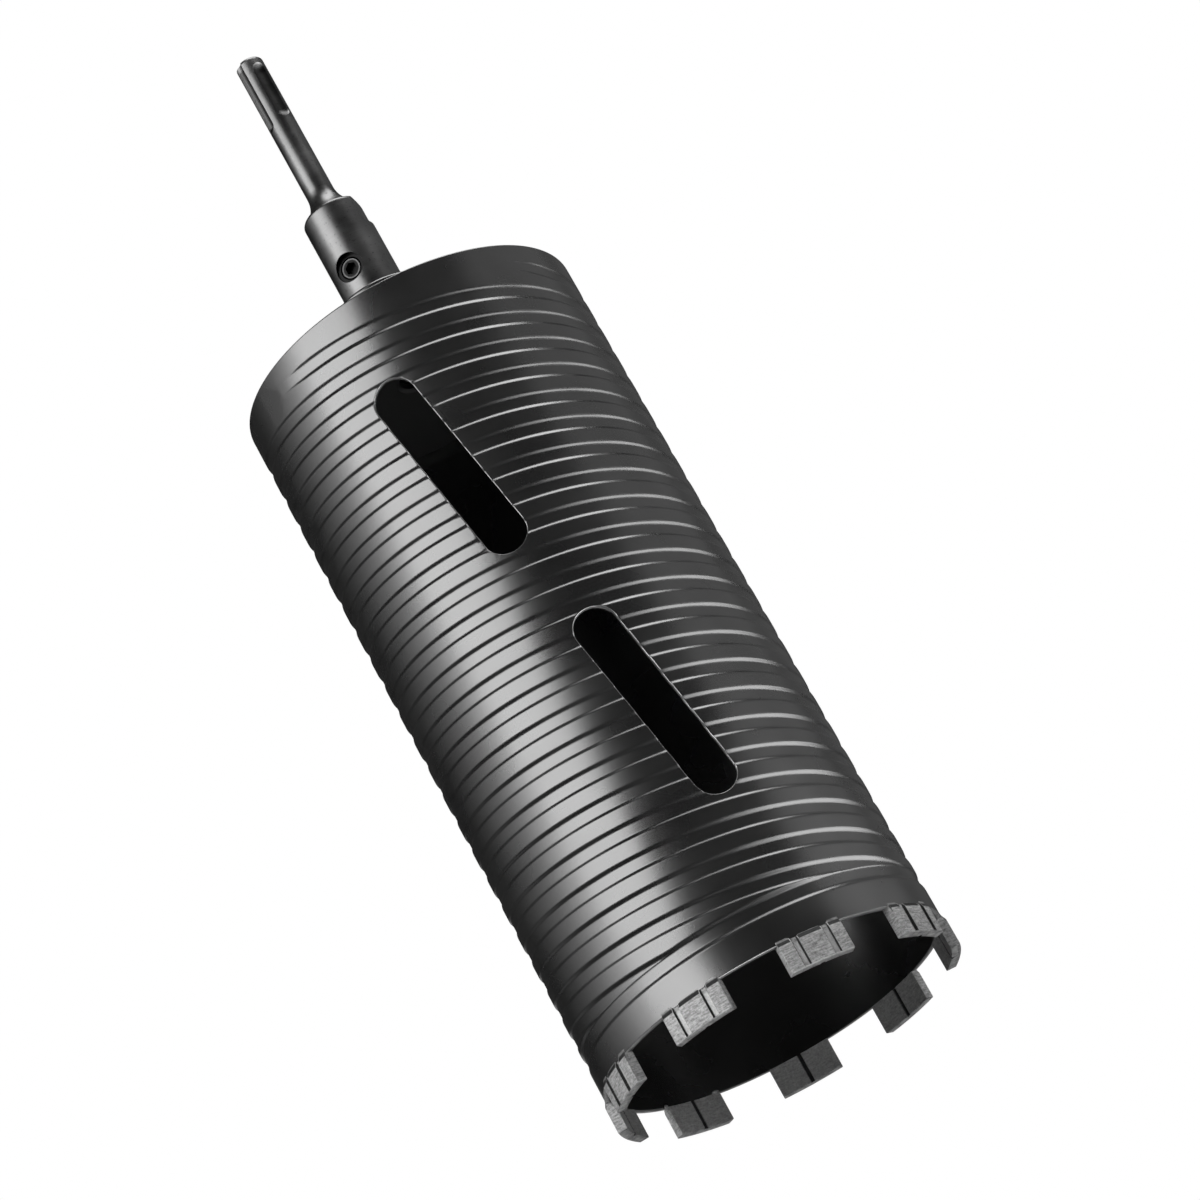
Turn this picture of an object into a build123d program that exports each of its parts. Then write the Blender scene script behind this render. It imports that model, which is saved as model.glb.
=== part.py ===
from build123d import *
import os
from math import cos, radians, sin, sqrt, tan

# Dry diamond core bit with a spiral-grooved barrel and a hammer-drill shank.
# It stands on its cutting segments: z = 0 is the cutting plane, +Z runs up the
# axis to the shank, and -Y is the front. All lengths are millimetres, all
# angles degrees, counted from +X towards +Y.

os.makedirs("parts", exist_ok=True)

# Barrel
barrel_od = 120.0
barrel_wall = 2.2
barrel_length = 260.0
rim_chamfer = 0.4
barrel_edge_radius = 0.6

# Cutting segments, brazed onto the rim
segment_count = 9
segment_height = 10.2
segment_length = 21.6
segment_outer_relief = 1.0
segment_inner_relief = 0.2
segment_lap = 1.4
segment_edge_chamfer = 0.2
first_segment_angle = 90.0
land_spacing = 10.6
land_groove_width = 1.4
land_groove_draft = 0.5
land_groove_foot = 0.2
land_corner_chamfer = 1.1
land_bevel_height = 2.2
land_top_width = 0.3
inner_groove_width = 1.6
inner_groove_depth = 0.7

# Dust grooves: one ring near the rim, and a left-hand spiral of several starts.
# The ring is a touch deeper than the spiral that runs out of it.
groove_depth = 0.5
ring_groove_depth = 0.6
groove_floor_width = 3.6
groove_flank_width = 1.05
groove_pitch = 10.68
groove_starts = 4
groove_start_angle = -17.0
plain_band_bottom = 13.0
plain_band_top = 10.5

# Side slots, in two staggered levels: the lower one is placed from the rim up,
# the upper one from the barrel's top down
slot_width = 14.8
slot_length = 74.8
slot_lean = 9.5
slots_per_level = 3
lower_slot_rise = 88.8
lower_slot_angle = -75.9
upper_slot_drop = 68.8
upper_slot_angle = -95.9

# Back plate with its threaded hub
plate_thickness = 8.0
plate_fit = 0.05
plate_edge_chamfer = 1.0
hub_od = 40.0
hub_height = 22.2
hub_edge_radius = 1.0
hub_root_radius = 3.0
thread_od = 16.0
thread_clearance = 0.05
thread_lead_in = 1.0

# Shank adapter
collar_od = 21.8
collar_length = 40.1
collar_edge_radius = 1.5
collar_foot_chamfer = 0.4
stub_length = 28.0
stub_chamfer = 1.2
shank_od = 10.0
shank_length = 67.5
shank_tip_radius = 1.4
flare_radius = 12.0
flare_step = 1.7
flat_depth = 1.6
flat_length = 11.4
flat_angle = -8.7
flat_cutter_radius = 2.0
pilot_bore_od = 8.0
pilot_bore_depth = 58.0
pilot_bore_lead_in = 0.6
drill_point_angle = 118.0

# Grooves of the shank: two open drive flutes, two closed locking grooves
flute_length = 29.7
flute_radius = 2.6
flute_depth = 1.55
flute_angle = -144.0
lock_groove_start = 3.2
lock_groove_end = 27.0
lock_groove_radius = 4.4
lock_groove_depth = 1.7
lock_groove_angle = -54.0

# Grub screw that clamps the pilot drill, and its counterbored hole
screw_rise = 14.1
screw_angle = -110.5
screw_od = 8.0
screw_clearance = 0.05
screw_recess_margin = 1.3
screw_recess_depth = 2.0
screw_edge_chamfer = 0.6
screw_bore_gap = 0.1
hex_key_size = 4.0
hex_key_depth = 2.6

# Radii and heights that follow from the sizes above
barrel_radius = barrel_od / 2
barrel_bore = barrel_radius - barrel_wall
rim_z = segment_height
barrel_top = rim_z + barrel_length
hub_top = barrel_top + hub_height
collar_top = hub_top + collar_length
shank_tip = collar_top + shank_length
stub_bottom = hub_top - stub_length
screw_z = hub_top + screw_rise
segment_outer = barrel_radius + segment_outer_relief
segment_inner = barrel_bore - segment_inner_relief
segment_top = rim_z + segment_lap
groove_ring_z = rim_z + plain_band_bottom
groove_end_z = barrel_top - plain_band_top
groove_lead = groove_pitch * groove_starts
collar_radius = collar_od / 2
shank_radius = shank_od / 2
past = 1.0


def groove_section(height, depth):
    """Outline of a dust groove in the r-z plane, run out past the barrel's surface."""
    slope = groove_flank_width / groove_depth
    floor_radius = barrel_radius - depth
    half_floor = groove_floor_width / 2
    half_mouth = half_floor + slope * (depth + past)
    Polyline(
        (floor_radius, height - half_floor),
        (floor_radius, height + half_floor),
        (barrel_radius + past, height + half_mouth),
        (barrel_radius + past, height - half_mouth),
        close=True,
    )


def radial_plane(angle, height, distance, lean=0.0):
    """Plane square to the radius at an angle, its x axis up the tool, tipped by lean."""
    outward = Vector(cos(radians(angle)), sin(radians(angle)), 0)
    around = Vector(-sin(radians(angle)), cos(radians(angle)), 0)
    up = Vector(0, 0, 1) * cos(radians(lean)) - around * sin(radians(lean))
    return Plane(origin=outward * distance + Vector(0, 0, height), x_dir=up, z_dir=outward)


# Cutters of one spiral start. Past the spiral's end the cutter runs straight on
# along its tangent, so that the groove fades out of the round surface.
groove_end_angle = -360 * (groove_end_z - groove_ring_z) / groove_lead
groove_run_out = 2 * sqrt(2 * barrel_radius * groove_depth)

with BuildPart() as spiral_cutter:
    with BuildLine() as spiral:
        Helix(
            pitch=groove_lead,
            height=groove_end_z - groove_ring_z,
            radius=barrel_radius,
            center=(0, 0, groove_ring_z),
            lefthand=True,
        )
    with BuildSketch(Plane.XZ):
        with BuildLine():
            groove_section(groove_ring_z, groove_depth)
        make_face()
    sweep(path=spiral.line, is_frenet=True)

with BuildPart() as run_out_cutter:
    with BuildSketch(Plane.XZ.rotated((0, 0, groove_end_angle))):
        with BuildLine():
            groove_section(groove_end_z, groove_depth)
        make_face()
    extrude(amount=groove_run_out, dir=spiral.line % 1)

# Barrel: a rolled tube with its dust grooves and its two levels of leaning slots
with BuildPart() as barrel_tube:
    with BuildSketch(Plane.XY.offset(rim_z)):
        Circle(barrel_radius)
        Circle(barrel_bore, mode=Mode.SUBTRACT)
    extrude(amount=barrel_length)
    end_edges = barrel_tube.edges().filter_by(GeomType.CIRCLE)
    fillet(end_edges.group_by(Axis.Z)[-1].sort_by(SortBy.RADIUS)[-1], barrel_edge_radius)
    chamfer(end_edges.group_by(Axis.Z)[0].sort_by(SortBy.RADIUS)[-1], rim_chamfer)
    with BuildSketch(Plane.XZ):
        with BuildLine():
            groove_section(groove_ring_z, ring_groove_depth)
        make_face()
    revolve(axis=Axis.Z, mode=Mode.SUBTRACT)
    with PolarLocations(0, groove_starts, start_angle=groove_start_angle):
        add(spiral_cutter.part, mode=Mode.SUBTRACT)
        add(run_out_cutter.part, mode=Mode.SUBTRACT)
    for level_height, level_angle in (
        (rim_z + lower_slot_rise, lower_slot_angle),
        (barrel_top - upper_slot_drop, upper_slot_angle),
    ):
        for turn in range(slots_per_level):
            slot_angle = level_angle + turn * 360 / slots_per_level
            with BuildSketch(radial_plane(slot_angle, level_height, barrel_bore - past, slot_lean)):
                SlotOverall(slot_length, slot_width)
            extrude(amount=barrel_wall + 2 * past, mode=Mode.SUBTRACT)

barrel_tube.part.label = "barrel_tube"
export_step(barrel_tube.part, "parts/barrel_tube.step")


def groove_half_width(above):
    """Half the width of a land groove at a distance above the barrel's radius."""
    return land_groove_width / 2 + land_groove_draft * above / segment_outer_relief


def cutting_segment(angle):
    """Slice of a ring with parallel ends: three outer lands that lap the rim, two inner ones."""
    base = Plane.XY.rotated((0, 0, angle))
    with BuildPart() as segment:
        with BuildSketch(Plane.XZ):
            with BuildLine():
                Polyline(
                    (segment_inner, 0),
                    (segment_outer - segment_edge_chamfer, 0),
                    (segment_outer, segment_edge_chamfer),
                    (segment_outer, segment_top - land_bevel_height),
                    (barrel_radius + land_top_width, segment_top),
                    (barrel_radius, segment_top),
                    (barrel_radius, rim_z),
                    (segment_inner, rim_z),
                    close=True,
                )
            make_face()
        revolve(axis=Axis.Z)
        with BuildSketch(base):
            Rectangle(segment_outer, segment_length, align=(Align.MIN, Align.CENTER))
        extrude(amount=segment_top, mode=Mode.INTERSECT)
        with BuildSketch(base.offset(land_groove_foot)):
            with Locations((0, -land_spacing / 2), (0, land_spacing / 2)):
                Polygon(
                    (barrel_radius - past, -groove_half_width(-past)),
                    (segment_outer + past, -groove_half_width(segment_outer_relief + past)),
                    (segment_outer + past, groove_half_width(segment_outer_relief + past)),
                    (barrel_radius - past, groove_half_width(-past)),
                    align=None,
                )
            Circle(barrel_radius, mode=Mode.SUBTRACT)
        extrude(amount=segment_top, mode=Mode.SUBTRACT)
        top_centre = radial_plane(angle, segment_top, segment_outer).origin
        top_corners = segment.edges().filter_by(GeomType.LINE).group_by(Axis.Z)[-1]
        chamfer(top_corners.sort_by_distance(top_centre)[:4], land_corner_chamfer)
        with BuildSketch(base):
            Rectangle(
                segment_inner + inner_groove_depth,
                inner_groove_width,
                align=(Align.MIN, Align.CENTER),
            )
        extrude(amount=rim_z, mode=Mode.SUBTRACT)
    return segment.part


for number in range(1, segment_count + 1):
    segment_part = cutting_segment(first_segment_angle + (number - 1) * 360 / segment_count)
    segment_part.label = f"segment_{number}"
    export_step(segment_part, f"parts/segment_{number}.step")

# Back plate: turned disc set flush into the barrel's top, with a tapped hub
with BuildPart() as back_plate:
    with BuildSketch(Plane.XY.offset(barrel_top - plate_thickness)):
        Circle(barrel_bore - plate_fit)
    extrude(amount=plate_thickness)
    chamfer(back_plate.edges().filter_by(GeomType.CIRCLE), plate_edge_chamfer)
    with BuildSketch(Plane.XY.offset(barrel_top)):
        Circle(hub_od / 2)
    extrude(amount=hub_height)
    hub_faces = back_plate.faces().filter_by(GeomType.CYLINDER).sort_by(SortBy.RADIUS)
    hub_edges = hub_faces[0].edges().filter_by(GeomType.CIRCLE).sort_by(Axis.Z)
    fillet(hub_edges[-1], hub_edge_radius)
    fillet(hub_edges[0], hub_root_radius)
    with BuildSketch(Plane.XY.offset(hub_top)):
        Circle(thread_od / 2)
    extrude(amount=-(hub_height + plate_thickness), mode=Mode.SUBTRACT)
    thread_face = back_plate.faces().filter_by(GeomType.CYLINDER).sort_by(SortBy.RADIUS)[0]
    chamfer(thread_face.edges().filter_by(GeomType.CIRCLE), thread_lead_in)

back_plate.part.label = "back_plate"
export_step(back_plate.part, "parts/back_plate.step")


def shank_groove_cutter(radius, depth, low, high):
    """Ball-ended cutter whose groove runs from low to high on the shank's surface."""
    centre_distance = shank_radius - depth + radius
    reach = sqrt(radius**2 - (radius - depth) ** 2)
    with BuildPart() as cutter:
        with Locations((centre_distance, 0, (low + high) / 2)):
            Cylinder(radius, high - low - 2 * reach)
        with Locations((centre_distance, 0, low + reach), (centre_distance, 0, high - reach)):
            Sphere(radius)
    return cutter.part


flute_cutter = shank_groove_cutter(
    flute_radius, flute_depth, shank_tip - flute_length, shank_tip + 2 * flute_radius + past
)
lock_groove_cutter = shank_groove_cutter(
    lock_groove_radius, lock_groove_depth, shank_tip - lock_groove_end, shank_tip - lock_groove_start
)

# Shank adapter: turned in one piece from the threaded stub to the shank's tip
stub_radius = thread_od / 2 - thread_clearance
flare_end = collar_radius - flare_step
flare_rise = sqrt(flare_radius**2 - (shank_radius + flare_radius - flare_end) ** 2)
flat_radius = collar_radius - flat_depth
flat_bottom = collar_top - flat_length
bore_radius = pilot_bore_od / 2
bore_end = stub_bottom + pilot_bore_depth
bore_point = bore_end + bore_radius / tan(radians(drill_point_angle / 2))

with BuildPart() as adapter_shank:
    with BuildSketch(Plane.XZ):
        with BuildLine():
            Polyline(
                (shank_radius, collar_top + flare_rise),
                (shank_radius, shank_tip),
                (0, shank_tip),
                (0, stub_bottom),
                (stub_radius, stub_bottom),
                (stub_radius, hub_top),
                (collar_radius, hub_top),
                (collar_radius, collar_top),
                (flare_end, collar_top),
            )
            RadiusArc((flare_end, collar_top), (shank_radius, collar_top + flare_rise), flare_radius)
        make_face()
    revolve(axis=Axis.Z)
    end_edges = adapter_shank.edges().filter_by(GeomType.CIRCLE).sort_by(Axis.Z)
    collar_face = adapter_shank.faces().filter_by(GeomType.CYLINDER).sort_by(SortBy.RADIUS)[-1]
    collar_edges = collar_face.edges().filter_by(GeomType.CIRCLE).sort_by(Axis.Z)
    fillet(end_edges[-1], shank_tip_radius)
    fillet(collar_edges[-1], collar_edge_radius)
    chamfer(collar_edges[0], collar_foot_chamfer)
    chamfer(end_edges[0], stub_chamfer)
    with PolarLocations(0, 2, start_angle=flute_angle):
        add(flute_cutter, mode=Mode.SUBTRACT)
    with PolarLocations(0, 2, start_angle=lock_groove_angle):
        add(lock_groove_cutter, mode=Mode.SUBTRACT)
    with BuildSketch(Plane.XZ.rotated((0, 0, flat_angle))):
        with BuildLine():
            Polyline(
                (flat_radius + flat_cutter_radius, flat_bottom),
                (collar_radius + 2 * past, flat_bottom),
                (collar_radius + 2 * past, collar_top + past),
                (flat_radius, collar_top + past),
                (flat_radius, flat_bottom + flat_cutter_radius),
            )
            RadiusArc(
                (flat_radius + flat_cutter_radius, flat_bottom),
                (flat_radius, flat_bottom + flat_cutter_radius),
                flat_cutter_radius,
            )
        make_face()
    extrude(amount=collar_radius, both=True, mode=Mode.SUBTRACT)
    with BuildSketch(Plane.XZ):
        with BuildLine():
            Polyline(
                (0, stub_bottom),
                (bore_radius + pilot_bore_lead_in, stub_bottom),
                (bore_radius, stub_bottom + pilot_bore_lead_in),
                (bore_radius, bore_end),
                (0, bore_point),
                close=True,
            )
        make_face()
    revolve(axis=Axis.Z, mode=Mode.SUBTRACT)
    with BuildSketch(radial_plane(screw_angle, screw_z, collar_radius - screw_recess_depth)):
        Circle(screw_od / 2 + screw_recess_margin)
    extrude(amount=screw_recess_depth + past, mode=Mode.SUBTRACT)
    with BuildSketch(radial_plane(screw_angle, screw_z, 0)):
        Circle(screw_od / 2 + screw_clearance)
    extrude(amount=collar_radius, mode=Mode.SUBTRACT)

adapter_shank.part.label = "adapter_shank"
export_step(adapter_shank.part, "parts/adapter_shank.step")

# Grub screw: it ends just short of the pilot bore, with a hex socket outside
screw_face = collar_radius - screw_recess_depth
screw_length = screw_face - bore_radius - screw_bore_gap

with BuildPart() as grub_screw:
    with BuildSketch(radial_plane(screw_angle, screw_z, screw_face)):
        Circle(screw_od / 2)
    extrude(amount=-screw_length)
    chamfer(grub_screw.edges().filter_by(GeomType.CIRCLE), screw_edge_chamfer)
    with BuildSketch(radial_plane(screw_angle, screw_z, screw_face)):
        RegularPolygon(hex_key_size / 2, 6, major_radius=False)
    extrude(amount=-hex_key_depth, mode=Mode.SUBTRACT)

grub_screw.part.label = "grub_screw"
export_step(grub_screw.part, "parts/grub_screw.step")
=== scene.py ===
from math import asin, cos, degrees, pi, radians, sin, sqrt

import bmesh
import bpy
import numpy as np
from mathutils import Matrix, Quaternion, Vector
from mathutils.geometry import delaunay_2d_cdt


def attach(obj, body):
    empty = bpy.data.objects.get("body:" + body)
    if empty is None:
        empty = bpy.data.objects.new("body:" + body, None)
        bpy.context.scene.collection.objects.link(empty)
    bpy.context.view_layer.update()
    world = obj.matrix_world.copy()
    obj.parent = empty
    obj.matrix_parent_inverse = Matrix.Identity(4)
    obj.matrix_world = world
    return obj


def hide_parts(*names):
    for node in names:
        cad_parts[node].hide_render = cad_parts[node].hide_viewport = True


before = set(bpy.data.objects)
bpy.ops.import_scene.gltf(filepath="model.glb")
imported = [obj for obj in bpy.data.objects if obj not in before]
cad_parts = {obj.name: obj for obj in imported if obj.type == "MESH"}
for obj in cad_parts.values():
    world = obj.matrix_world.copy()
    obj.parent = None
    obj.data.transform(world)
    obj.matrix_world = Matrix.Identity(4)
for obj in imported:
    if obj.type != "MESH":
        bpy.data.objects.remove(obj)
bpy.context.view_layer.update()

# A dry diamond core bit that stands on its segments: a black grooved barrel with
# leaning slots, sintered segments round its mouth and a dark steel shank.
# Lengths in this file are millimetres unless a name says otherwise, and angles
# are degrees from +X towards +Y. MM turns a length into Blender's metres.
MM = 0.001

# Barrel
barrel_radius = 60.0
barrel_bore = 57.8
rim_z = 10.2
barrel_top = 270.2
rim_chamfer = 0.2
barrel_edge_radius = 0.6
column_step = 2.5
edge_wear_reach = 0.3
least_column = 0.05
seam_angle = 90.0
seam_end = seam_angle + 360
bore_rows = 30
rim_row_shares = (0, 0.7, 1, 1.3, 1.6)
top_row_shares = (0, 0.08, 0.25, 0.5, 1)

# Dust grooves
groove_depth = 0.5
ring_groove_depth = 0.6
groove_half_floor = 1.8
groove_flank_width = 1.05
groove_pitch = 10.68
groove_starts = 4
groove_start_angle = -17.0
groove_ring_z = 23.2
groove_end_z = 259.7
groove_corner = 0.42
run_out_angle = 17.0
run_out_points = 12
groove_lead = groove_pitch * groove_starts
flank_slope = groove_depth / groove_flank_width

# Side slots
slot_width = 14.8
slot_length = 74.8
slot_lean = 9.5
slot_rim_radius = 0.35
slot_rim_shares = (0, 0.1, 0.3, 0.6, 1)
slot_levels = ((99.0, -75.9), (201.4, -95.9))
slots_per_level = 3
slot_side_steps = 24
slot_arc_steps = 20

# Shank adapter, grub screw and back plate: the places where their materials change, and where shade is
# painted on the adapter
stub_shade_z = 266.0
plate_inside_z = 268.5
plate_foot_z = 258.0
screw_z = 306.5
screw_angle = -110.5
screw_radius = 4.0
screw_recess_radius = 5.3
collar_radius = 10.9
flute_foot_z = 345.0
shank_tip_z = 400.0
shank_radius = 5.0

# Cutting segments
segment_count = 9
first_segment_angle = 90.0
segment_outer = 60.999
segment_inner = 57.6
segment_half_length = 10.8
segment_top = 11.6
segment_end_radius = 0.2
segment_foot_radius = 0.25
land_spacing = 10.6
land_groove_half_floor = 0.7
land_groove_half_mouth = 1.2
land_groove_foot = 0.3
land_groove_foot_rise = 0.5
land_corner = 1.1
land_bevel_foot = 9.1
land_bevel_top = 10.7
land_bead_width = 0.12
land_bead_swell = 0.15
least_land_rise = 0.05
lap_gap = 0.02
rim_overlap = 1.0
inner_groove_half_floor = 0.4
inner_groove_half_width = 0.8
inner_groove_depth = 0.7

# Where the net of a segment has its outlines: distances from an end, distances from the middle
# of a groove between lands, heights above the foot, and shares of the height above the bevel
end_stops = (0, 0.02, 0.06, 0.12, segment_end_radius, 0.5)
groove_stops = (0, 0.35, 0.66, 0.7, 0.74, 0.87, 1.03, 1.16, 1.2, 1.24, 1.5, 1.8, 1.84, 2.4)
foot_stops = (0.25, 0.32, 0.4, 0.5, 0.6, 0.7, 0.85)
top_stops = (0.12, 0.35, 0.6, 0.8, 0.9, 0.95, 1)
foot_round_turns = (0.5, 1.0)
segment_stops_reach = 10.0
segment_stops_step = 0.5
face_stops_start = 1.2
face_stops = 12
inner_stops = 6
sole_stops = 4
foot_inset_height = 0.3

# Marks on a segment, each from one place to another: painted shade on the bevel by its height
# and on the walls between lands by the distance from their groove's middle, painted shade in the
# hollow of the inner groove by its depth, and the smooth groove floors, lightened as painted light,
# by their height
bevel_shade = (9.25, 10.65)
bevel_shade_start = 1.4
wall_shade = (0.75, 1.18)
dark_hollow = (0.5, 0.8)
smooth_floor_painted_light = (0.6, land_bevel_foot)
inner_smooth_and_painted_light = 0.4
face_margin = 0.1

# Bare worn metal on a segment's edges: how far it reaches from them
foot_wear_height = 0.45
foot_wear_width = 0.4
corner_wear_reach = 0.12
end_wear_reach = 0.08
corner_wear_share = 0.7

# Drops of braze at the rim's inner edge: angle, height, length along the rim, thickness
braze_drops = ((120.6, 10.6, 2.8, 1.4), (141.6, 10.3, 1.5, 1.5))
drop_columns = 24
drop_rows = 12

# Mesh work: places closer than a margin count as the same, points nearer than a weld are one,
# shorter edges than a sliver go, and edges sharper than an angle stay sharp
net_margin = 0.00001
margin = 0.01
weld_distance = 0.004
sliver_length = 0.002
sharp_angle = 40.0

# Materials: the span of a noise texture's values that they use, and how much of its colour a
# part keeps where shade is painted on it
noise_low = 0.3
noise_high = 0.7
shade_share = 0.06

# Studio: height and distance of the large lamps from the bit's foot, in metres
studio_distance = 1.5
studio_height = 0.75


def ramp(x, half):
    """The larger of x and 0, with its corner rounded over half a width on each side."""
    return np.where(x <= -half, 0.0, np.where(x >= half, x, (x + half) ** 2 / (4 * half)))


def groove_profile(distance, floor_depth):
    """Depth of a groove at a distance from its centre line."""
    rise = flank_slope * ramp(np.abs(distance) - groove_half_floor, groove_corner)
    return ramp(floor_depth - rise, groove_corner * flank_slope)


def faded_depth(beyond):
    """Depth of a spiral groove's floor at an angle past the start of its run-out."""
    share = np.clip(beyond / run_out_angle, 0, 1)
    return groove_depth - (groove_depth + groove_corner * flank_slope) * share**2 * (3 - 2 * share)


def quarter_round(distance, radius):
    """Depth of a rounded edge at a distance from the edge's end."""
    inside = np.clip(radius - distance, 0.0, radius)
    return radius - np.sqrt(radius**2 - inside**2)


def slot_list():
    """Height and angle of each side slot's centre."""
    for height, angle in slot_levels:
        for turn in range(slots_per_level):
            yield height, angle + turn * 360 / slots_per_level


def slot_distance(theta, z, height, angle, radius=barrel_radius):
    """Distance outside a slot's outline, measured in the plane square to the slot's radius."""
    turn = np.radians((theta - angle + 180) % 360 - 180)
    across = radius * np.sin(turn)
    lean = radians(slot_lean)
    along = (z - height) * cos(lean) - across * sin(lean)
    beside = (z - height) * sin(lean) + across * cos(lean)
    half_run = (slot_length - slot_width) / 2
    distance = np.hypot(along - np.clip(along, -half_run, half_run), beside) - slot_width / 2
    return np.where(np.abs(turn) < pi / 2, distance, slot_length)


def wall_depth(theta, z):
    """How far the barrel's outside lies below its full radius at points of its unrolled skin."""
    ring = groove_profile(z - groove_ring_z, ring_groove_depth)
    lead_height = z - groove_ring_z + groove_lead * (theta - groove_start_angle) / 360
    distance = lead_height - groove_pitch * np.round(lead_height / groove_pitch)
    travelled = 360 * (z - distance - groove_ring_z) / groove_lead
    travel_end = 360 * (groove_end_z - groove_ring_z) / groove_lead
    spiral = np.where(travelled >= 0, groove_profile(distance, faded_depth(travelled - travel_end)), 0.0)
    depth = np.maximum(ring, spiral)
    for height, angle in slot_list():
        depth = depth + quarter_round(slot_distance(theta, z, height, angle), slot_rim_radius)
    depth = depth + ramp(rim_chamfer - (z - rim_z), rim_chamfer / 4)
    return depth + quarter_round(barrel_top - z, barrel_edge_radius)


class Net:
    """Points and constraint edges of an unrolled skin, in angle and height."""

    def __init__(self):
        self.points = []
        self.edges = []

    def line(self, points, closed=False):
        """Adds a row of points with edges between them, and one from its last to its first if closed."""
        first = len(self.points)
        self.points += [tuple(p) for p in points]
        last = len(self.points) - 1
        self.edges += [(i, i + 1) for i in range(first, last)]
        if closed:
            self.edges.append((last, first))

    def triangles(self):
        """Constrained triangles over the net: their points as arrays of angle and height."""
        flat = [Vector((radians(t) * barrel_radius, z)) for t, z in self.points]
        made = delaunay_2d_cdt(flat, self.edges, [], 0, net_margin, False)
        points = np.array([(degrees(p.x / barrel_radius), p.y) for p in made[0]])
        return points, np.array(made[2])


def columns(low, high):
    """Angles from low to high on the shared columns, with both ends kept."""
    first = int(low // column_step) + 1
    last = int(-(-high // column_step)) - 1
    inner = [i * column_step for i in range(first, last + 1)]
    return [low] + [a for a in inner if low + least_column < a < high - least_column] + [high]


def add_row(net, travel_from, travel_to, start_angle, height_at):
    """One spiral row of points, cut where it crosses the seam of the unrolled skin."""
    high = start_angle - travel_from
    low = start_angle - travel_to
    turn = int((high - seam_angle) // 360)
    while turn * 360 + seam_end > low:
        shift = turn * 360
        piece_low = max(low, seam_angle + shift)
        piece_high = min(high, seam_end + shift)
        if piece_high - piece_low > margin:
            angles = columns(piece_low - shift, piece_high - shift)
            net.line([(a, height_at(start_angle - (a + shift))) for a in angles])
        turn -= 1


def outer_net():
    """Net of the barrel's outside: its ends, groove rows, run-outs and slot outlines."""
    net = Net()
    turns = columns(seam_angle, seam_end)
    end_rows = [rim_z + rim_chamfer * share for share in rim_row_shares]
    end_rows += [barrel_top - barrel_edge_radius * share for share in top_row_shares]
    corner = groove_corner
    mouth = groove_half_floor + groove_flank_width
    ring_mouth = groove_half_floor + ring_groove_depth / flank_slope
    shifts = (-corner, -corner / 2, 0, corner / 2, corner)
    offsets = [side + shift for side in (groove_half_floor, mouth) for shift in shifts]
    ring_offsets = [side + shift for side in (groove_half_floor, ring_mouth) for shift in shifts]
    end_rows += [groove_ring_z + sign * offset for offset in ring_offsets for sign in (-1, 1)]
    for z in end_rows:
        net.line([(a, z) for a in turns])
    travel_end = 360 * (groove_end_z - groove_ring_z) / groove_lead
    crest_lift = (ring_groove_depth - groove_depth) / flank_slope / 2
    merge_travel = 360 * 2 * ring_mouth / groove_lead
    for start in range(groove_starts):
        start_angle = groove_start_angle + start * 360 / groove_starts
        for offset in offsets:
            for sign in (-1, 1):
                add_row(
                    net, 0, travel_end + run_out_angle, start_angle,
                    lambda travel, d=sign * offset: groove_ring_z + groove_lead * travel / 360 + d,
                )
        add_row(
            net, 0, merge_travel, start_angle,
            lambda travel: groove_ring_z + groove_lead * travel / 360 / 2 + crest_lift,
        )
        for sign in (-1, 1):
            add_run_out(net, start_angle, travel_end, sign)
    for height, angle in slot_list():
        for share in slot_rim_shares:
            net.line(slot_outline(height, angle, slot_rim_radius * share), closed=True)
    return net


def add_run_out(net, start_angle, travel_end, sign):
    """Edge of a groove's mouth where the groove fades out of the round surface."""
    points = []
    for beyond in np.linspace(0, run_out_angle, run_out_points):
        travel = travel_end + beyond
        half_mouth = groove_half_floor + max(faded_depth(beyond), 0) / flank_slope
        z = groove_ring_z + groove_lead * travel / 360 + sign * half_mouth
        points.append(((start_angle - travel - seam_angle) % 360 + seam_angle, z))
    net.line(points)


def slot_outline(height, angle, offset):
    """Closed outline of a slot on the unrolled skin, grown by an offset."""
    half_width = slot_width / 2 + offset
    half_run = (slot_length - slot_width) / 2
    lean = radians(slot_lean)
    outline = []
    for end in (1, -1):
        for k in range(slot_arc_steps + 1):
            turn = pi * k / slot_arc_steps
            outline.append((end * (half_run + half_width * sin(turn)), end * half_width * cos(turn)))
        for k in range(1, slot_side_steps):
            outline.append((end * half_run * (1 - 2 * k / slot_side_steps), -end * half_width))
    points = []
    for along, beside in outline:
        across = beside * cos(lean) - along * sin(lean)
        z = height + along * cos(lean) + beside * sin(lean)
        turned = angle + degrees(asin(across / barrel_radius))
        points.append(((turned - seam_angle) % 360 + seam_angle, z))
    return points


def round_points(theta, radius, z):
    """Points of a skin in space, in millimetres."""
    turn = np.radians(theta)
    return np.stack([radius * np.cos(turn), radius * np.sin(turn), z], axis=1)


def open_slots(points, triangles, radius):
    """The triangles whose middles lie outside every slot."""
    middle = points[triangles].mean(axis=1)
    keep = np.ones(len(triangles), bool)
    for height, angle in slot_list():
        keep &= slot_distance(middle[:, 0], middle[:, 1], height, angle, radius) > 0
    return triangles[keep]


def slot_rims(points, triangles):
    """Border edges of a skin that aren't on its ends or its seam."""
    sides = [triangles[:, ends] for ends in ([0, 1], [1, 2], [2, 0])]
    pairs = np.sort(np.concatenate(sides), axis=1)
    found, counts = np.unique(pairs, axis=0, return_counts=True)
    border = found[counts == 1]
    theta, z = points[border, 0], points[border, 1]
    on_end = (z < rim_z + margin).all(axis=1) | (z > barrel_top - margin).all(axis=1)
    on_seam = (theta < seam_angle + margin).all(axis=1) | (theta > seam_end - margin).all(axis=1)
    return border[~(on_end | on_seam)]


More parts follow.
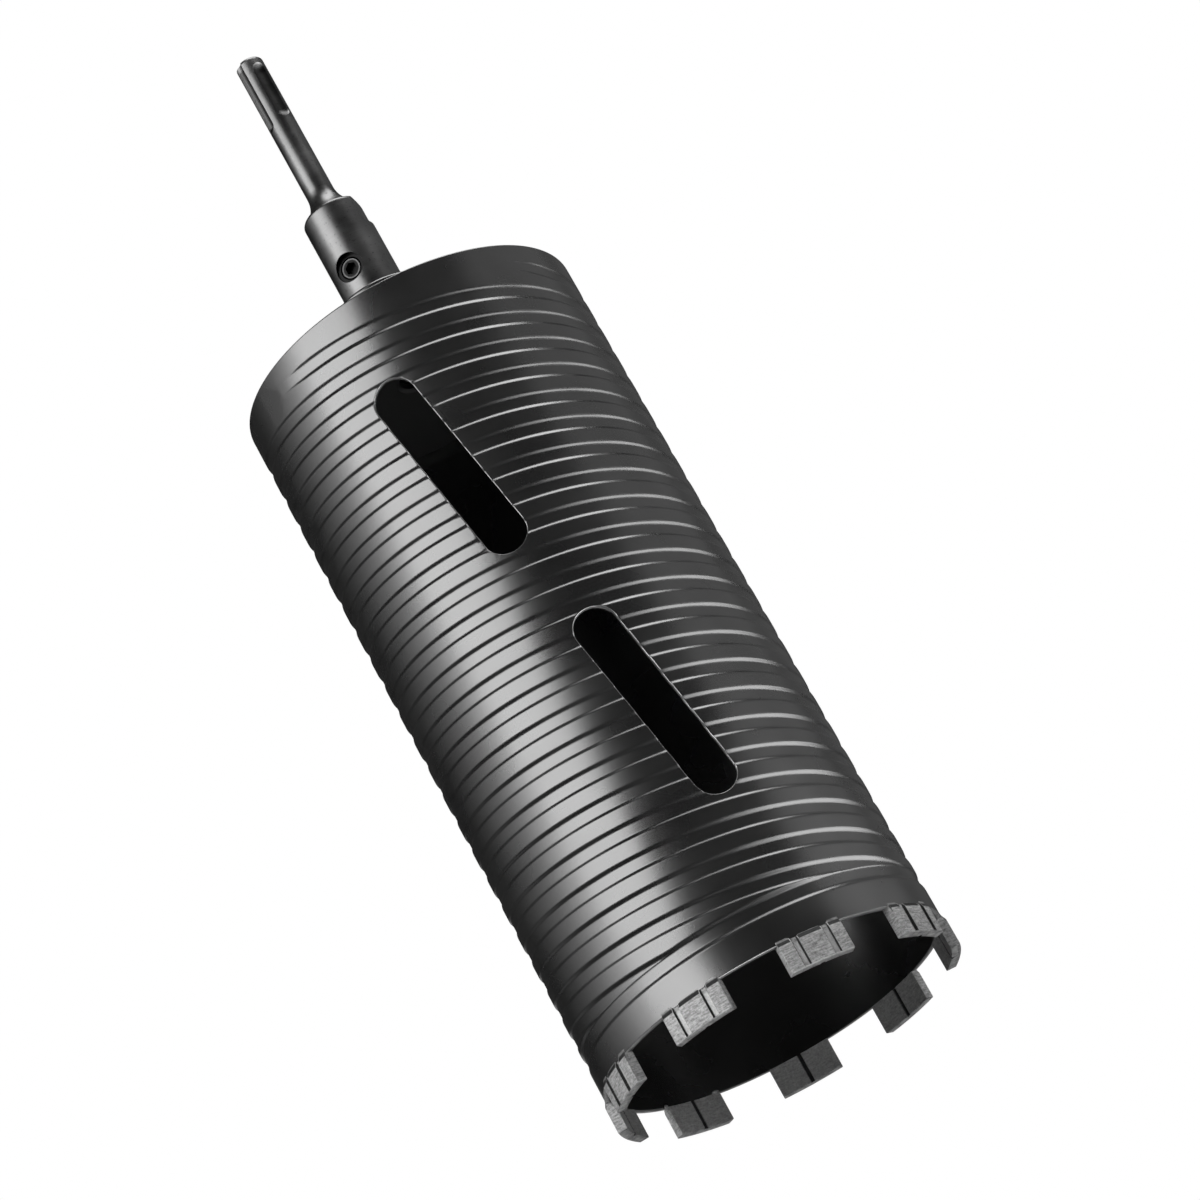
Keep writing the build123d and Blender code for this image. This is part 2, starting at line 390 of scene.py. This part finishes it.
def inner_angle(theta, z):
    """Angle on the bore of the point that a slot's wall reaches from a point on its rim."""
    result = theta.copy()
    for height, angle in slot_list():
        near = np.abs(slot_distance(theta, z, height, angle)) < slot_rim_radius
        radius = barrel_radius - wall_depth(theta[near], z[near])
        across = radius * np.sin(np.radians(theta[near] - angle))
        shift = 360 * np.round((theta[near] - angle) / 360)
        result[near] = angle + shift + np.degrees(np.arcsin(across / barrel_bore))
    return result


def finished_mesh(mesh, name):
    """Welds a mesh's points, drops its slivers, turns its faces outwards and stores it by a name."""
    bmesh.ops.remove_doubles(mesh, verts=mesh.verts, dist=weld_distance * MM)
    bmesh.ops.dissolve_degenerate(mesh, edges=mesh.edges, dist=sliver_length * MM)
    bmesh.ops.recalc_face_normals(mesh, faces=mesh.faces)
    data = bpy.data.meshes.new(name)
    mesh.to_mesh(data)
    mesh.free()
    return data


def barrel_mesh():
    """The barrel's whole skin: grooved outside, slot walls, bore and both end rings."""
    points, triangles = outer_net().triangles()
    triangles = open_slots(points, triangles, barrel_radius)
    theta, z = points[:, 0], points[:, 1]
    outside = round_points(theta, barrel_radius - wall_depth(theta, z), z)
    rims = slot_rims(points, triangles)
    rim_ids = np.unique(rims)
    rim_theta = inner_angle(theta[rim_ids], z[rim_ids])
    place = {v: i for i, v in enumerate(rim_ids)}
    inner = Net()
    inner.points = list(zip(rim_theta, z[rim_ids]))
    inner.edges = [(place[a], place[b]) for a, b in rims]
    turns = columns(seam_angle, seam_end)
    for height in np.linspace(rim_z, barrel_top, bore_rows):
        row = [(a, height) for a in turns]
        if height in (rim_z, barrel_top):
            inner.line(row)
        else:
            inner.points += row
    bore_points, bore_triangles = inner.triangles()
    bore_triangles = open_slots(bore_points, bore_triangles, barrel_bore)
    bore = round_points(bore_points[:, 0], barrel_bore, bore_points[:, 1])
    rim_walls = round_points(rim_theta, barrel_bore, z[rim_ids])
    mesh = bmesh.new()
    outside_verts = [mesh.verts.new(p * MM) for p in outside]
    bore_verts = [mesh.verts.new(p * MM) for p in bore]
    wall_verts = [mesh.verts.new(p * MM) for p in rim_walls]
    for a, b, c in triangles:
        mesh.faces.new((outside_verts[a], outside_verts[b], outside_verts[c]))
    for a, b, c in bore_triangles:
        mesh.faces.new((bore_verts[a], bore_verts[c], bore_verts[b]))
    for a, b in rims:
        mesh.faces.new((outside_verts[a], outside_verts[b], wall_verts[place[b]], wall_verts[place[a]]))
    for height in (rim_z, barrel_top):
        outer = barrel_radius - wall_depth(np.array([0.0]), np.array([height]))[0]
        for a, b in zip(turns, turns[1:]):
            radii = np.array([outer, outer, barrel_bore, barrel_bore])
            ring = round_points(np.array([a, b, b, a]), radii, np.full(4, height))
            mesh.faces.new([mesh.verts.new(p * MM) for p in ring])
    data = finished_mesh(mesh, "barrel_skin")
    radius, theta, z = skin_places(data)
    far = np.minimum(np.abs(z - rim_z), np.abs(barrel_top - z))
    for height, angle in slot_list():
        far = np.minimum(far, np.abs(slot_distance(theta, z, height, angle)))
    off_bore = radius > (barrel_radius + barrel_bore) / 2
    add_marks(data, "edge_wear", np.clip(1 - far / edge_wear_reach, 0, 1) * off_bore)
    return data


def skin_places(data, angle=0.0):
    """Radius, angle and height of a mesh's points, with angles counted from a given one."""
    spots = np.array([v.co for v in data.vertices]) / MM
    theta = (np.degrees(np.arctan2(spots[:, 1], spots[:, 0])) - angle + 180) % 360 - 180
    return np.hypot(spots[:, 0], spots[:, 1]), theta, spots[:, 2]


def within(values, span):
    """Whether values lie between the two ends of a span."""
    return (values > span[0]) & (values < span[1])


def add_marks(data, name, shares):
    """Stores a share from 0 to 1 at each point of a mesh, for its material to read."""
    layer = data.attributes.new(name, "FLOAT", "POINT")
    layer.data.foreach_set("value", np.asarray(shares, np.float32))


def step_down(distance, low, high):
    """1 below low, 0 above high, and an even slope between them."""
    return float(np.clip((high - distance) / (high - low), 0, 1))


def land_radius(y, z, top):
    """Outer radius of a segment at a distance along it and a height."""
    off_groove = min(abs(y - land_spacing / 2), abs(y + land_spacing / 2))
    groove = step_down(off_groove, land_groove_half_floor, land_groove_half_mouth)
    groove *= 1 - step_down(z, land_groove_foot, land_groove_foot + land_groove_foot_rise) ** 2
    bevel = (z - land_bevel_foot) / (land_bevel_top - land_bevel_foot)
    full = segment_outer - barrel_radius
    lap = full - (full - land_bead_width - land_bead_swell) * min(max(bevel, 0), 1)
    if z > land_bevel_top:
        below_top = max(1 - (z - land_bevel_top) / (top - land_bevel_top), 0)
        lap = land_bead_width + land_bead_swell * below_top**2
    return barrel_radius + min(lap, full * (1 - groove))


def land_top(y, drops):
    """Height of a segment's top at a distance along it: three lands with cut corners, and two gaps."""
    off_groove = min(abs(y - land_spacing / 2), abs(y + land_spacing / 2))
    if off_groove < land_groove_half_floor:
        return rim_z
    land = 0 if y < -land_spacing / 2 else 1 if y < land_spacing / 2 else 2
    corner = max(land_groove_half_floor + land_corner - off_groove, 0)
    return max(segment_top - drops[land] - corner, rim_z + least_land_rise)


def segment_loop(y, drops):
    """Closed outline of a segment across its length, as radius and height."""
    from_end = segment_half_length - abs(y)
    inset = float(quarter_round(min(from_end, segment_end_radius), segment_end_radius))
    inner = segment_inner + inset
    inner += inner_groove_depth * step_down(abs(y), inner_groove_half_floor, inner_groove_half_width)
    top = land_top(y, drops) - inset
    foot = segment_foot_radius
    loop = [(inner, z) for z in np.linspace(rim_z - inset, foot + inset, inner_stops)]
    loop += [(inner + foot * (1 - cos(a)), inset + foot * (1 - sin(a))) for a in foot_round_turns]
    outer = land_radius(y, 0.0, top) - inset
    loop += [(r, inset) for r in np.linspace(inner + foot, outer - foot, sole_stops)]
    loop += [(outer - foot * (1 - sin(a)), inset + foot * (1 - cos(a))) for a in foot_round_turns]
    heights = [*foot_stops, *np.linspace(face_stops_start, land_bevel_foot, face_stops)]
    loop += [(land_radius(y, z, top) - inset, z + inset * (z < foot_inset_height)) for z in heights]
    for share in top_stops:
        z = land_bevel_foot + (top - land_bevel_foot) * share
        loop.append((max(land_radius(y, z, top) - inset, barrel_radius + lap_gap), z))
    loop.append((barrel_radius + lap_gap, top))
    loop.append((barrel_radius + lap_gap, rim_z))
    loop.append((barrel_radius - rim_overlap, rim_z - lap_gap))
    return loop


def segment_mesh(angle, drops):
    """A cutting segment: outlines across its length, joined, with both ends closed."""
    stops = [segment_half_length - distance for distance in end_stops]
    for side in (-1, 1):
        middle = side * land_spacing / 2
        for reach in groove_stops:
            stops += [middle - reach, middle + reach]
    stops += [inner_groove_half_floor, inner_groove_half_width]
    even_stops = np.arange(0, segment_stops_reach + segment_stops_step / 2, segment_stops_step)
    stops += list(even_stops)
    stops = sorted({round(abs(y), 3) * sign for y in stops for sign in (-1, 1)})
    mesh = bmesh.new()
    rows = []
    for y in stops:
        row = []
        for radius, z in segment_loop(y, drops):
            point = Vector((sqrt(radius**2 - y**2), y, z)) * MM
            point.rotate(Matrix.Rotation(radians(angle), 3, "Z"))
            row.append(mesh.verts.new(point))
        rows.append(row)
    count = len(rows[0])
    for low, high in zip(rows, rows[1:]):
        for k in range(count):
            mesh.faces.new((low[k], low[(k + 1) % count], high[(k + 1) % count], high[k]))
    mesh.faces.new(rows[0])
    mesh.faces.new(rows[-1])
    data = finished_mesh(mesh, "segment_skin")
    mark_segment(data, angle)
    return data


def drop_mesh(angle, height, length, width):
    """A drop of braze that has run onto the bore at a segment's end and set there."""
    mesh = bmesh.new()
    bmesh.ops.create_uvsphere(mesh, u_segments=drop_columns, v_segments=drop_rows, radius=MM / 2)
    bmesh.ops.scale(mesh, vec=(width, length, width), verts=mesh.verts)
    bmesh.ops.translate(mesh, vec=(barrel_bore * MM, 0, height * MM), verts=mesh.verts)
    bmesh.ops.rotate(mesh, matrix=Matrix.Rotation(radians(angle), 3, "Z"), verts=mesh.verts)
    data = bpy.data.meshes.new("braze_drop")
    mesh.to_mesh(data)
    mesh.free()
    return data


def mark_segment(data, angle):
    """Marks a segment's worn edges, its painted shade, its smooth faces with painted light, and its line
    of braze.
    """
    radius, theta, z = skin_places(data, angle)
    y = radius * np.sin(np.radians(theta))
    off_groove = np.abs(np.abs(y) - land_spacing / 2)
    outside = radius > barrel_radius + 2 * lap_gap
    foot = np.clip(1 - z / foot_wear_height, 0, 1) * (radius > segment_outer - foot_wear_width)
    corner_distance = np.abs(off_groove - land_groove_half_mouth)
    corners = np.clip(1 - corner_distance / corner_wear_reach, 0, 1) * outside
    end_distance = np.abs(segment_half_length - np.abs(y) - end_wear_reach)
    ends = np.clip(1 - end_distance / end_wear_reach, 0, 1)
    add_marks(data, "edge_wear", np.maximum(foot, corner_wear_share * np.maximum(corners, ends)))
    # Painted shade: the bevel, the walls between lands and the hollow of the inner groove are marked to
    # get a darker colour
    bevel = within(z, bevel_shade) & (off_groove > bevel_shade_start) & outside
    walls = within(off_groove, wall_shade) & (z > land_groove_foot) & outside
    hollow = within(radius - segment_inner, dark_hollow) & (np.abs(y) < inner_groove_half_width + margin)
    add_marks(data, "painted", bevel | walls | hollow)
    # Smooth groove floors and, in part, the inner faces: fewer grinding strokes, and a lighter colour as
    # painted light
    floor = within(z, smooth_floor_painted_light) & (off_groove < land_groove_half_floor + 2 * margin)
    on_lap = radius > barrel_radius - face_margin
    inner_face = (radius < segment_inner + face_margin) & (z > segment_foot_radius)
    add_marks(data, "smooth", np.maximum(floor & on_lap, inner_smooth_and_painted_light * inner_face))
    add_marks(data, "brazed", (z > land_bevel_top - 2 * margin) & outside)


def add_object(name, data, material):
    """Links a mesh to the scene, smooth but for its sharp edges, with its material."""
    piece = bpy.data.objects.new(name, data)
    bpy.context.scene.collection.objects.link(piece)
    data.materials.clear()
    data.materials.append(material)
    data.polygons.foreach_set("use_smooth", [True] * len(data.polygons))
    data.set_sharp_from_angle(angle=radians(sharp_angle))
    weights = piece.modifiers.new("weighted_normals", "WEIGHTED_NORMAL")
    weights.keep_sharp = True
    return piece


def new_material(name):
    """A Principled material; returns it with its node tree and shader."""
    material = bpy.data.materials.new(name)
    material.use_nodes = True
    return material, material.node_tree, material.node_tree.nodes["Principled BSDF"]


def add_node(tree, kind, inputs, **settings):
    """A node with its settings; each named input takes a value or a link from a socket."""
    node = tree.nodes.new(kind)
    for name, value in settings.items():
        setattr(node, name, value)
    for name, value in inputs.items():
        if isinstance(value, bpy.types.NodeSocket):
            tree.links.new(value, node.inputs[name])
        else:
            node.inputs[name].default_value = value
    return node


def calc(tree, operation, *values):
    """Result of a math node on values or sockets."""
    return add_node(tree, "ShaderNodeMath", dict(enumerate(values)), operation=operation).outputs[0]


def vector(tree, operation, *values):
    """A vector math node on vectors or sockets."""
    return add_node(tree, "ShaderNodeVectorMath", dict(enumerate(values)), operation=operation)


def between(tree, value, start, end, low, high):
    """Takes a value from start to end onto a range from low to high, held at its ends."""
    ranges = {"Value": value, "From Min": start, "From Max": end, "To Min": low, "To Max": high}
    return add_node(tree, "ShaderNodeMapRange", ranges).outputs[0]


def vary(tree, noise, low, high):
    """Takes the usual span of a noise's values onto a range from low to high."""
    return between(tree, noise, noise_low, noise_high, low, high)


def grain(tree, scale, detail, stretch=(1, 1, 1)):
    """Noise over an object's own metres; a stretch makes it finer along an axis."""
    place = add_node(tree, "ShaderNodeTexCoord", {}).outputs["Object"]
    mapped = add_node(tree, "ShaderNodeMapping", {"Vector": place, "Scale": stretch}).outputs[0]
    inputs = {"Vector": mapped, "Scale": scale, "Detail": detail}
    return add_node(tree, "ShaderNodeTexNoise", inputs).outputs[0]


def axis_places(tree):
    """Height of a point and its distance from the bit's axis, in metres."""
    place = add_node(tree, "ShaderNodeTexCoord", {}).outputs["Object"]
    height = add_node(tree, "ShaderNodeSeparateXYZ", {0: place}).outputs["Z"]
    flat = vector(tree, "MULTIPLY", place, (1, 1, 0)).outputs[0]
    return height, vector(tree, "LENGTH", flat).outputs["Value"]


def screw_distance(tree):
    """Distance of a point from the grub screw's axis, in metres."""
    place = add_node(tree, "ShaderNodeTexCoord", {}).outputs["Object"]
    turned = radians(screw_angle)
    raised = vector(tree, "SUBTRACT", place, (0, 0, screw_z * MM)).outputs[0]
    aside = vector(tree, "CROSS_PRODUCT", raised, (cos(turned), sin(turned), 0)).outputs[0]
    return vector(tree, "LENGTH", aside).outputs["Value"]


def step(tree, value, place, width, low, high):
    """Changes from low to high over a width, where a value in metres passes a place in millimetres."""
    return between(tree, value, (place - width / 2) * MM, (place + width / 2) * MM, low, high)


def marks(tree, name):
    """Share stored at the points of a mesh."""
    return add_node(tree, "ShaderNodeAttribute", {}, attribute_name=name).outputs["Fac"]


def roughen(tree, shader, height, depth, strength):
    """Gives a shader a bump of a depth in metres."""
    bump = add_node(tree, "ShaderNodeBump", {"Height": height, "Distance": depth, "Strength": strength})
    tree.links.new(bump.outputs["Normal"], shader.inputs["Normal"])


def paint_material():
    """Satin black paint: fine orange peel, rubbed through to steel on worn edges, matt under the plate."""
    material, tree, shader = new_material("black_paint")
    speckle = grain(tree, 2200, 3)
    peel = grain(tree, 520, 2)
    patches = grain(tree, 38, 4)
    ragged = between(tree, grain(tree, 240, 5), 0.3, 0.6, 0.6, 1)
    bare = between(tree, calc(tree, "MULTIPLY", marks(tree, "edge_wear"), ragged), 0.3, 0.7, 0, 1)
    color = calc(tree, "ADD", vary(tree, patches, 0.003, 0.006), calc(tree, "MULTIPLY", bare, 0.5))
    tree.links.new(color, shader.inputs["Base Color"])
    tree.links.new(bare, shader.inputs["Metallic"])
    rough = calc(tree, "ADD", vary(tree, patches, 0.25, 0.31), calc(tree, "MULTIPLY", bare, 0.1))
    height, axis_distance = axis_places(tree)
    inside = calc(
        tree, "MULTIPLY", step(tree, height, plate_inside_z, 1, 0.65, 0),
        step(tree, axis_distance, barrel_bore + 0.1, 0.1, 1, 0),
    )
    inside = calc(tree, "MULTIPLY", inside, step(tree, height, plate_foot_z, 2, 0, 1))
    tree.links.new(calc(tree, "MAXIMUM", rough, inside), shader.inputs["Roughness"])
    shader.inputs["IOR"].default_value = 2.0
    roughen(tree, shader, calc(tree, "ADD", speckle, peel), 0.00003, 0.2)
    return material


def steel_material():
    """Dark turned steel: rings from the cutting tool, cloudy oxide, dull spots, and painted shade in the
    screw's recess, in the flutes and on the stub inside the barrel.
    """
    material, tree, shader = new_material("dark_steel")
    rings = grain(tree, 1.0, 3, (140, 140, 3200))
    clouds = grain(tree, 90, 5)
    spots = between(tree, grain(tree, 900, 4), 0.62, 0.7, 1, 0.6)
    color = calc(tree, "ADD", vary(tree, rings, 0.11, 0.13), vary(tree, clouds, 0, 0.05))
    height, axis_distance = axis_places(tree)
    # Painted shade: the recess round the grub screw, the flutes and the stub below the plate get a darker
    # colour
    hole = calc(
        tree, "MULTIPLY", step(tree, screw_distance(tree), screw_recess_radius + 0.1, 0.3, 1, 0),
        step(tree, axis_distance, collar_radius - 0.4, 0.3, 1, 0),
    )
    flute = calc(
        tree, "MULTIPLY", step(tree, height, flute_foot_z, 1, 0, 1),
        step(tree, axis_distance, shank_radius - 0.4, 0.4, 1, 0),
    )
    flute = calc(tree, "MULTIPLY", flute, step(tree, height, shank_tip_z - 2, 1, 1, 0))
    dark = calc(tree, "MAXIMUM", hole, calc(tree, "MULTIPLY", flute, 0.7))
    dark = calc(tree, "MAXIMUM", dark, step(tree, height, stub_shade_z, 1, 1, 0))
    color = calc(tree, "MULTIPLY", color, between(tree, dark, 0, 1, 1, shade_share))
    tree.links.new(calc(tree, "MULTIPLY", color, spots), shader.inputs["Base Color"])
    shader.inputs["Metallic"].default_value = 1.0
    rough = calc(tree, "ADD", vary(tree, rings, 0.28, 0.33), vary(tree, clouds, 0, 0.08))
    tree.links.new(rough, shader.inputs["Roughness"])
    roughen(tree, shader, rings, 0.00001, 0.2)
    return material


def sintered_material():
    """Sintered metal and diamond: grit, pits, grinding strokes, bright worn edges, painted shade, painted
    light on smooth faces, and braze.
    """
    material, tree, shader = new_material("sintered")
    grit = grain(tree, 1700, 5)
    strokes = grain(tree, 1.0, 4, (420, 420, 1900))
    diamonds = between(tree, grain(tree, 2600, 2), 0.66, 0.7, 0, 0.12)
    ragged = between(tree, grain(tree, 500, 4), 0.3, 0.6, 0.5, 1)
    worn = calc(tree, "MULTIPLY", marks(tree, "edge_wear"), ragged)
    blotches = between(tree, grain(tree, 420, 3), 0.35, 0.6, 0.1, 0.6)
    braze = calc(tree, "MULTIPLY", marks(tree, "brazed"), blotches)
    metal = calc(tree, "MAXIMUM", between(tree, worn, 0.2, 0.7, 0, 1), braze)
    smooth = marks(tree, "smooth")
    dull = calc(tree, "SUBTRACT", 1, smooth)
    ground = calc(tree, "MULTIPLY", dull, between(tree, strokes, 0.35, 0.65, 0, 0.2))
    body = calc(tree, "ADD", vary(tree, grit, 0.12, 0.28), ground)
    # Painted light: smooth faces get a lighter colour
    body = calc(tree, "ADD", body, calc(tree, "MAXIMUM", diamonds, calc(tree, "MULTIPLY", smooth, 0.3)))
    # Painted shade: marked places keep only a share of their colour
    body = calc(tree, "MULTIPLY", body, between(tree, marks(tree, "painted"), 0, 1, 1, shade_share))
    body = calc(tree, "MULTIPLY", body, between(tree, marks(tree, "brazed"), 0, 1, 1, 0.4))
    color = calc(tree, "ADD", body, calc(tree, "MULTIPLY", metal, 0.14))
    tree.links.new(color, shader.inputs["Base Color"])
    tree.links.new(between(tree, metal, 0, 1, 0.25, 0.8), shader.inputs["Metallic"])
    tree.links.new(between(tree, metal, 0, 1, 0.58, 0.32), shader.inputs["Roughness"])
    shader.inputs["Specular IOR Level"].default_value = 0.25
    relief = calc(tree, "MULTIPLY", dull, calc(tree, "ADD", grit, strokes))
    roughen(tree, shader, relief, 0.00016, 0.5)
    return material


def screw_material():
    """Blackened steel, a little uneven, with a painted highlight on the ring round its face and a darker
    colour inside that ring.
    """
    material, tree, shader = new_material("screw_black")
    clouds = grain(tree, 700, 4)
    # Painted highlight: the ring at the edge of the face gets a lighter colour, and the face inside it a
    # darker one
    face = step(tree, screw_distance(tree), screw_radius - 0.9, 0.6, 0.25, 2.5)
    color = calc(tree, "MULTIPLY", vary(tree, clouds, 0.02, 0.05), face)
    tree.links.new(color, shader.inputs["Base Color"])
    shader.inputs["Metallic"].default_value = 1.0
    tree.links.new(vary(tree, clouds, 0.3, 0.42), shader.inputs["Roughness"])
    roughen(tree, shader, clouds, 0.00002, 0.3)
    return material


black_paint = paint_material()
dark_steel = steel_material()
sintered = sintered_material()
screw_black = screw_material()
node_materials = {
    "back_plate": black_paint, "adapter_shank": dark_steel, "grub_screw": screw_black,
}
for node, material in node_materials.items():
    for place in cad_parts[node].material_slots:
        place.material = material

barrel = add_object("barrel", barrel_mesh(), black_paint)
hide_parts("barrel_tube")
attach(barrel, "root")

chance = np.random.default_rng(7)
for number in range(1, segment_count + 1):
    angle = first_segment_angle + (number - 1) * 360 / segment_count
    drops = (chance.uniform(0, 0.6), chance.uniform(0.5, 0.8), chance.uniform(0, 0.2))
    segment = add_object(f"segment_block_{number}", segment_mesh(angle, drops), sintered)
    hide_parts(f"segment_{number}")
    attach(segment, "root")

for number, drop_place in enumerate(braze_drops, 1):
    drop = add_object(f"braze_drop_{number}", drop_mesh(*drop_place), sintered)
    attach(drop, "root")

# Floor: pale, white for the camera far from the bit, and see-through from below, because the
# camera looks up at the mouth
floor_data = bpy.data.meshes.new("floor")
floor_size = 6.0
floor_pale_reach = 0.25
floor_white_reach = 1.1
floor_corners = [(x * floor_size, y * floor_size, 0) for x, y in ((-1, -1), (1, -1), (1, 1), (-1, 1))]
floor_data.from_pydata(floor_corners, [], [(0, 1, 2, 3)])
floor = bpy.data.objects.new("floor", floor_data)
bpy.context.scene.collection.objects.link(floor)
floor_paint, floor_tree, floor_shader = new_material("floor_paint")
floor_shader.inputs["Base Color"].default_value = (0.8, 0.8, 0.8, 1)
floor_shader.inputs["Roughness"].default_value = 0.6
away = axis_places(floor_tree)[1]
camera_ray = add_node(floor_tree, "ShaderNodeLightPath", {}).outputs["Is Camera Ray"]
far_share = between(floor_tree, away, floor_pale_reach, floor_white_reach, 0, 1)
white_share = calc(floor_tree, "MULTIPLY", far_share, camera_ray)
white = add_node(floor_tree, "ShaderNodeEmission", {}).outputs[0]
top_mix = {0: white_share, 1: floor_shader.outputs[0], 2: white}
floor_top = add_node(floor_tree, "ShaderNodeMixShader", top_mix).outputs[0]
see_through = add_node(floor_tree, "ShaderNodeBsdfTransparent", {}).outputs[0]
back_face = add_node(floor_tree, "ShaderNodeNewGeometry", {}).outputs["Backfacing"]
sides_mix = {0: back_face, 1: floor_top, 2: see_through}
floor_sides = add_node(floor_tree, "ShaderNodeMixShader", sides_mix).outputs[0]
floor_tree.links.new(floor_sides, floor_tree.nodes["Material Output"].inputs["Surface"])
floor_data.materials.append(floor_paint)
floor.visible_glossy = floor.visible_shadow = False

# World: white for the camera. Gloss and glass see that white only near one direction behind
# the bit, and all else is lit by a dim grey
world = bpy.data.worlds.new("studio")
bpy.context.scene.world = world
world.use_nodes = True
sky = world.node_tree
backdrop = sky.nodes["Background"]
backdrop.inputs["Color"].default_value = (1, 1, 1, 1)
light_path = add_node(sky, "ShaderNodeLightPath", {}).outputs
ambient = 0.028
backdrop_reach = 11.5
backdrop_blur = 3.0
backdrop_way = (-0.17, 0.98, 0.07)
direction = add_node(sky, "ShaderNodeTexCoord", {}).outputs["Generated"]
facing = vector(sky, "DOT_PRODUCT", direction, backdrop_way).outputs["Value"]
backdrop_end = cos(radians(backdrop_reach + backdrop_blur))
backdrop_start = cos(radians(backdrop_reach - backdrop_blur))
behind = between(sky, facing, backdrop_end, backdrop_start, 0, 1)
mirrored = calc(sky, "MAXIMUM", light_path["Is Glossy Ray"], light_path["Is Transmission Ray"])
seen = calc(sky, "MAXIMUM", light_path["Is Camera Ray"], calc(sky, "MULTIPLY", mirrored, behind))
sky.links.new(between(sky, seen, 0, 1, ambient, 1), backdrop.inputs["Strength"])


def add_softbox(name, place, target, width, height, radiance, roll=0):
    """Area lamp at a place, facing a target, both in metres, turned about its own axis by a roll."""
    lamp = bpy.data.lights.new(name, "AREA")
    lamp.shape = "RECTANGLE"
    lamp.size, lamp.size_y = width, height
    lamp.energy = radiance * pi * width * height
    holder = bpy.data.objects.new(name, lamp)
    bpy.context.scene.collection.objects.link(holder)
    holder.location = place
    holder.rotation_mode = "QUATERNION"
    outward = Vector(place) - Vector(target)
    rolled = Quaternion(outward.normalized(), radians(roll))
    holder.rotation_quaternion = rolled @ outward.to_track_quat("Z", "Y")
    holder.visible_camera = False


def around(azimuth, distance, height):
    """A place in metres at an azimuth from the front: 0 is -Y, 90 is +X."""
    turned = radians(azimuth)
    return (sin(turned) * distance, -cos(turned) * distance, height)


middle = (0, 0, 0.15)
left_roll = -12.0
add_softbox("softbox_left", around(-43, studio_distance, studio_height), middle, 1.27, 1.1, 5.1, left_roll)
left_fade = (2.4, 0.95, 0.5, 0.22, 0.07)
left_fade_start = -60
left_fade_step = -12
for number, radiance in enumerate(left_fade, 1):
    place = around(left_fade_start + left_fade_step * number, studio_distance, studio_height)
    add_softbox(f"softbox_left_{number}", place, middle, 0.315, 1.1, radiance, left_roll)
add_softbox("softbox_right", around(92, studio_distance, studio_height), middle, 1.9, 1.1, 0.29)
add_softbox("softbox_right_low", around(74, studio_distance, 0.42), middle, 0.8, 0.28, 0.5)
add_softbox("softbox_right_rear", around(143, studio_distance, studio_height), middle, 0.9, 1.1, 0.12)
add_softbox("softbox_top", (0.65, -0.17, 1.6), (0.65, -0.17, 0), 1.3, 0.95, 5.0)
# A strip of light on the floor at the right, bright near the bit: each ring runs from one
# distance to another, with its width as a share of its distance
low_azimuth = 70
low_roll = 20
low_height = 0.004
low_rings = ((0.08, 0.16, 1.8), (0.16, 0.3, 1.7), (0.3, 0.55, 1.5), (0.55, 1.1, 1.3))
low_layers = (("core", 0.55, 2.2), ("edge", 1.0, 2.0))
for number, (near, far, spread) in enumerate(low_rings, 1):
    distance = (near + far) / 2
    above = around(low_azimuth, distance, 1)
    for layer, share, radiance in low_layers:
        place = around(low_azimuth, distance, low_height * (1 + share))
        name = f"softbox_low_{number}_{layer}"
        add_softbox(name, place, above, far - near, spread * distance * share, radiance, low_roll)
add_softbox("softbox_low_far", around(97, 1.2, 0.09), (0, 0, 0.09), 0.62, 0.18, 4.0)
add_softbox("softbox_low_left", around(-125, 0.6, low_height), around(-125, 0.6, 1), 0.8, 0.5, 0.3, 215)
add_softbox("softbox_under", (0, 0.68, -0.4), (0, 0.68, 0), 1.2, 1.25, 0.3)
add_softbox("softbox_under_front", (0.3, -0.35, -0.4), (0.3, -0.35, 0), 1.0, 0.3, 3.6)

# Camera: looks up at the mouth from in front of and below it, rolled to the right
camera_data = bpy.data.cameras.new("camera")
camera_data.lens = 127.72
camera_data.sensor_width = 36.0
camera = bpy.data.objects.new("camera", camera_data)
bpy.context.scene.collection.objects.link(camera)
camera_right = Vector((0.874162, 0.174724, -0.453116))
camera_up = Vector((0.485510, -0.335753, 0.807187))
camera_back = camera_right.cross(camera_up)
camera_place = (0, -1.28531, -0.36514)
camera_turn = Matrix((camera_right, camera_up, camera_back)).transposed().to_4x4()
camera.matrix_world = Matrix.Translation(camera_place) @ camera_turn
bpy.context.scene.camera = camera
bpy.context.scene.view_settings.view_transform = "Standard"
